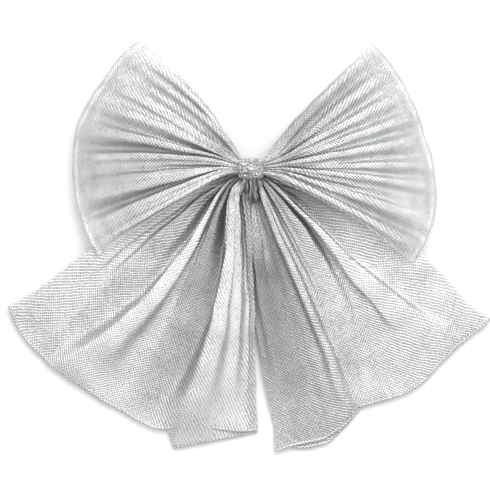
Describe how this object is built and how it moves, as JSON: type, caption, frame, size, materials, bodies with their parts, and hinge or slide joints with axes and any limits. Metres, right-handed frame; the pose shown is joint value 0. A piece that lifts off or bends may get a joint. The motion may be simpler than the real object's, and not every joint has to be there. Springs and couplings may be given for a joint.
{
  "type": "pre-made gift bow",
  "caption": "Silver metallic net gift bow with two puffed loops, doubled tails and a crumpled net knot, ready to fix on a parcel.",
  "frame": {"origin": "centre of the knot's flat back, on the surface that the bow lies on", "axes": "+Z out of the bow's front, +Y from the knot towards the loops' tips and away from the tails, +X across the bow to the right seen from the front"},
  "size_m": [0.2472, 0.2161, 0.0255],
  "materials": {
    "silver_net": "satin",
    "thread": "matte"
  },
  "bodies": {
    "knot": {"knot_wrap": "silver_net", "wrap_stitches": "thread", "gathering_thread": "thread", "loop_waist": "silver_net", "front_tail_waist": "silver_net", "back_tail_waist": "silver_net"},
    "left_loop": {"left_loop": "silver_net"},
    "right_loop": {"right_loop": "silver_net"},
    "left_tail": {"left_tail_front": "silver_net", "left_tail_back": "silver_net"},
    "right_tail": {"right_tail_front": "silver_net", "right_tail_back": "silver_net"}
  },
  "joints": [
    {"name": "left_loop_lift", "type": "hinge", "parent": "knot", "child": "left_loop", "pos_m": [-0.0095, 0, 0.015], "axis": [0, 1, 0], "range_deg": [0, 35], "stiffness_Nm_per_rad": 0.01},
    {"name": "right_loop_lift", "type": "hinge", "parent": "knot", "child": "right_loop", "pos_m": [0.0095, 0, 0.015], "axis": [0, -1, 0], "range_deg": [0, 35], "stiffness_Nm_per_rad": 0.01},
    {"name": "left_tail_lift", "type": "hinge", "parent": "knot", "child": "left_tail", "pos_m": [-0.00571, -0.0094, 0.006], "axis": [-0.8549, 0.5188, 0], "range_deg": [0, 30], "stiffness_Nm_per_rad": 0.02},
    {"name": "right_tail_lift", "type": "hinge", "parent": "knot", "child": "right_tail", "pos_m": [0.00591, -0.00928, 0.006], "axis": [-0.8434, -0.5373, 0], "range_deg": [0, 30], "stiffness_Nm_per_rad": 0.02}
  ]
}
